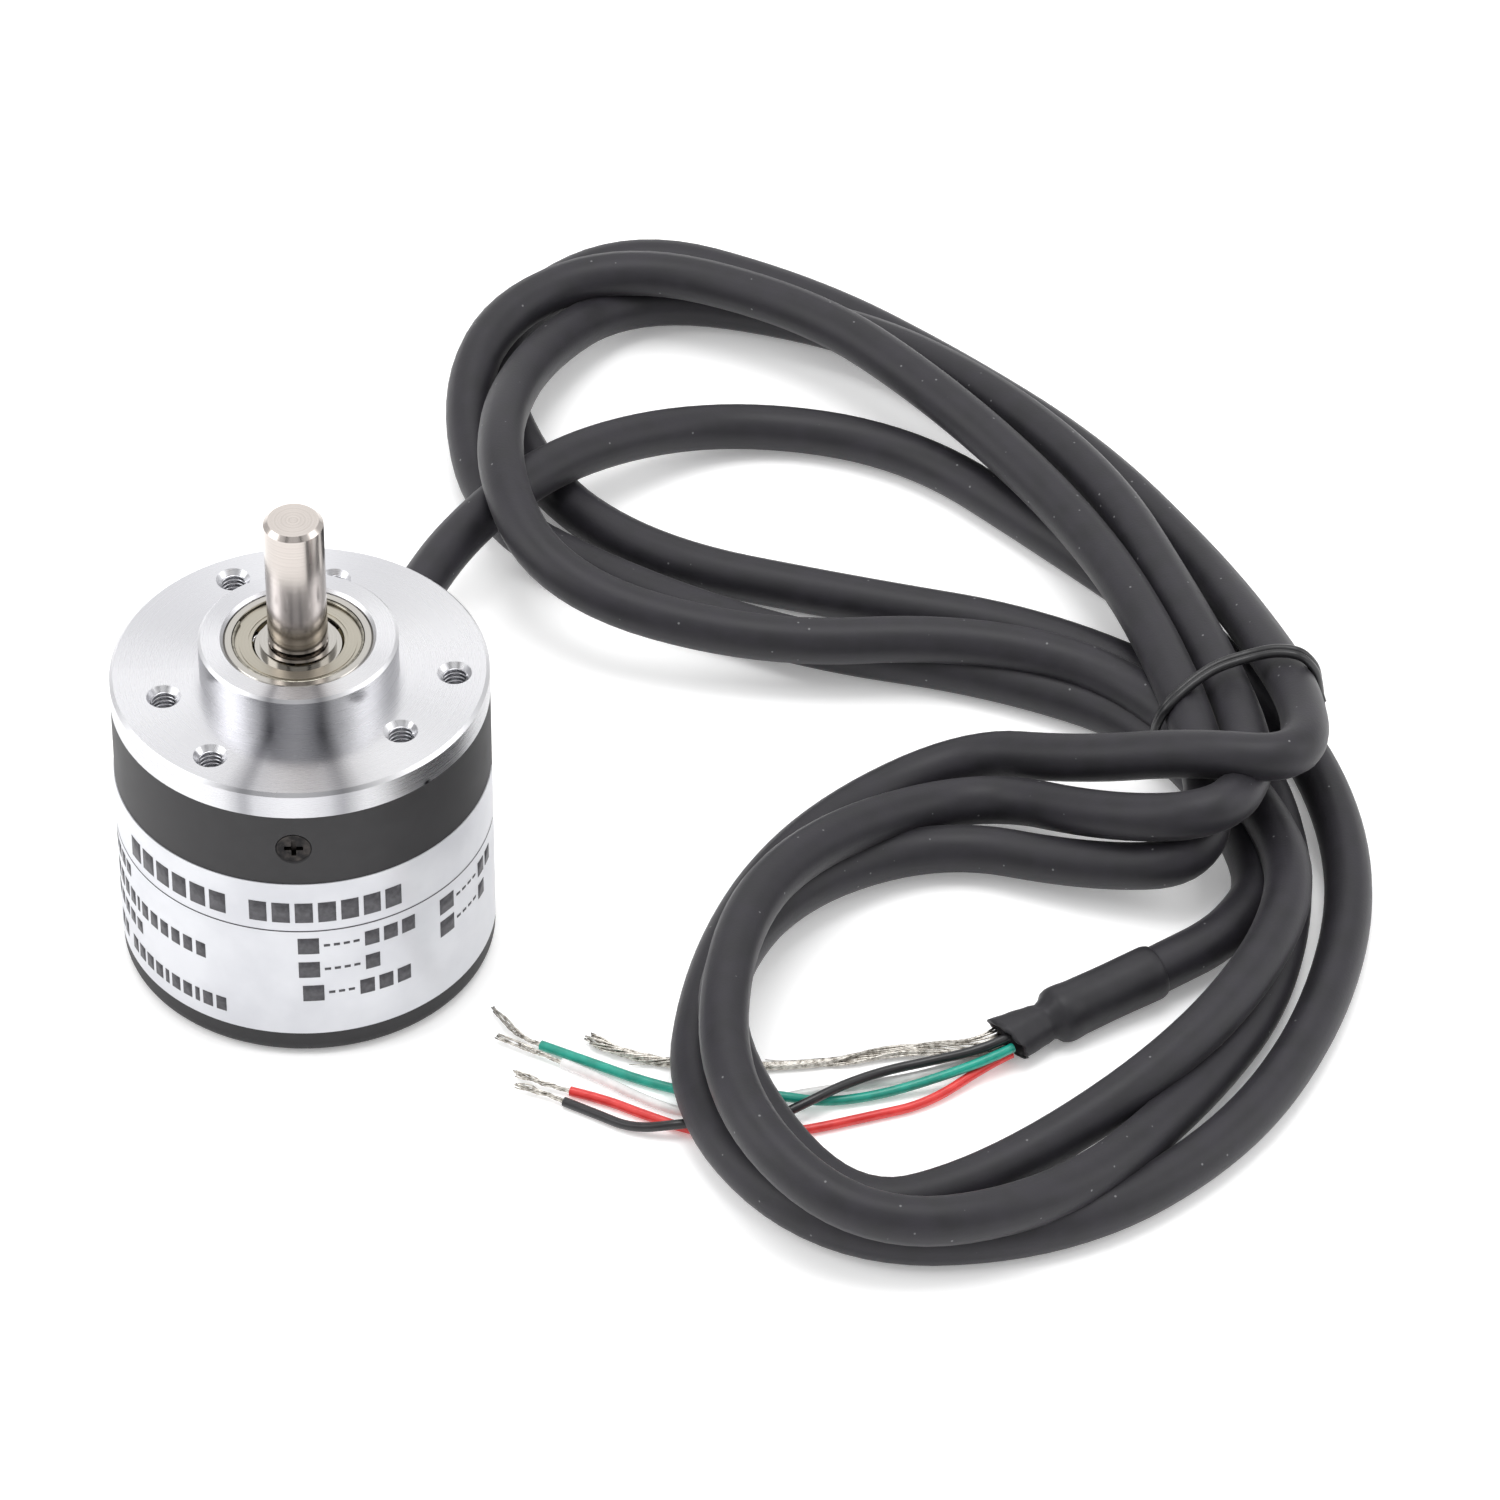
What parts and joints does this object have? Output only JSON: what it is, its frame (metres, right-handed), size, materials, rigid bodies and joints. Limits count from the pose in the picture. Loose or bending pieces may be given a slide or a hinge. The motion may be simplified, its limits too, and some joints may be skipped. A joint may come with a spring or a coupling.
{
  "type": "incremental rotary encoder with shaft and cable",
  "caption": "Round flanged shaft encoder with a ball-bearing rotor, black housing, silver label and a tied cable hank with bare leads.",
  "frame": {"origin": "middle of the rear face, on the shaft's axis, where the encoder stands on a surface", "axes": "+Z along the shaft, out of the flange; -Y towards the side that carries the label; +Y roughly towards the cable"},
  "size_m": [0.1286, 0.1629, 0.0548],
  "materials": {
    "turned_aluminium": "fine turned, bright",
    "black_housing": "matte black anodised aluminium cup",
    "label_film": "satin silver polyester film",
    "black_oxide_steel": "black oxide steel",
    "ground_stainless": "centreless ground stainless steel",
    "bearing_steel": "ground chrome steel",
    "polished_balls": "polished",
    "cage_nylon": "natural nylon",
    "shield_steel": "pressed steel, warm satin",
    "snap_wire_steel": "drawn wire",
    "spring_steel": "dark phosphated spring steel",
    "plated_steel": "zinc plated",
    "brass": "turned brass",
    "disc_glass": "coated glass with a printed track",
    "black_plastic": "moulded, matte",
    "ceramic": "fired ceramic",
    "clear_epoxy": "clear epoxy lens",
    "board_laminate": "green solder mask on glass laminate",
    "header_nylon": "natural nylon",
    "seal_rubber": "moulded rubber",
    "clamp_steel": "pressed steel",
    "cable_jacket": "matte extruded jacket",
    "heat_shrink": "shrunk sleeve, satin",
    "insulation_red": "extruded insulation",
    "insulation_black": "extruded insulation",
    "insulation_green": "extruded insulation",
    "insulation_white": "extruded insulation",
    "tinned_copper": "tinned fine strands",
    "shield_braid": "twisted tinned braid",
    "tie_plastic": "plastic covered wire"
  },
  "bodies": {
    "encoder_body": {"bearing_retaining_ring": "spring_steel", "board_screws": "plated_steel", "board_standoffs": "brass", "cable_clamp": "clamp_steel", "cable_clamp_screws": "plated_steel", "cable_entry": "cable_jacket", "cable_gland": "seal_rubber", "cable_hank": "cable_jacket", "cable_lead": "cable_jacket", "capacitors": "ceramic", "comparator_chip": "black_plastic", "conductor_black": "tinned_copper", "conductor_green": "tinned_copper", "conductor_red": "tinned_copper", "conductor_white": "tinned_copper", "flange": "turned_aluminium", "flange_seal": "seal_rubber", "front_bearing_outer_ring": "bearing_steel", "front_bearing_shields": "shield_steel", "front_bearing_snap_wires": "snap_wire_steel", "heat_shrink_sleeve": "heat_shrink", "housing": "black_housing", "housing_screws": "black_oxide_steel", "inner_lead_black": "insulation_black", "inner_lead_green": "insulation_green", "inner_lead_red": "insulation_red", "inner_lead_white": "insulation_white", "led_emitter": "clear_epoxy", "led_holder": "black_plastic", "line_driver_chip": "black_plastic", "photo_sensor": "black_plastic", "rating_label": "label_film", "rear_bearing_outer_ring": "bearing_steel", "rear_bearing_shields": "shield_steel", "rear_bearing_snap_wires": "snap_wire_steel", "resistors": "black_plastic", "reticle": "disc_glass", "sensor_board": "board_laminate", "shield_pigtail": "shield_braid", "twist_tie": "tie_plastic", "wave_washer": "spring_steel", "wire_black": "insulation_black", "wire_green": "insulation_green", "wire_header": "header_nylon", "wire_red": "insulation_red", "wire_white": "insulation_white"},
    "rotor": {"shaft": "ground_stainless", "front_bearing_inner_ring": "bearing_steel", "rear_bearing_inner_ring": "bearing_steel", "bearing_spacer": "plated_steel", "shaft_clip": "spring_steel", "disc_hub": "turned_aluminium", "hub_set_screw": "black_oxide_steel", "code_disc": "disc_glass", "disc_clamp_ring": "plated_steel"},
    "front_ball_set": {"front_bearing_balls": "polished_balls", "front_bearing_cage": "cage_nylon"},
    "rear_ball_set": {"rear_bearing_balls": "polished_balls", "rear_bearing_cage": "cage_nylon"}
  },
  "joints": [
    {"name": "shaft_spin", "type": "hinge", "parent": "encoder_body", "child": "rotor", "pos_m": [0, 0, 0.035], "axis": [0, 0, 1], "continuous": true},
    {"name": "front_ball_spin", "type": "hinge", "parent": "encoder_body", "child": "front_ball_set", "pos_m": [0, 0, 0.0365], "axis": [0, 0, 1], "continuous": true},
    {"name": "rear_ball_spin", "type": "hinge", "parent": "encoder_body", "child": "rear_ball_set", "pos_m": [0, 0, 0.0249], "axis": [0, 0, 1], "continuous": true}
  ],
  "couplings": [
    {"joint": "front_ball_spin", "follows": "shaft_spin", "ratio": 0.38667},
    {"joint": "rear_ball_spin", "follows": "shaft_spin", "ratio": 0.38667}
  ]
}
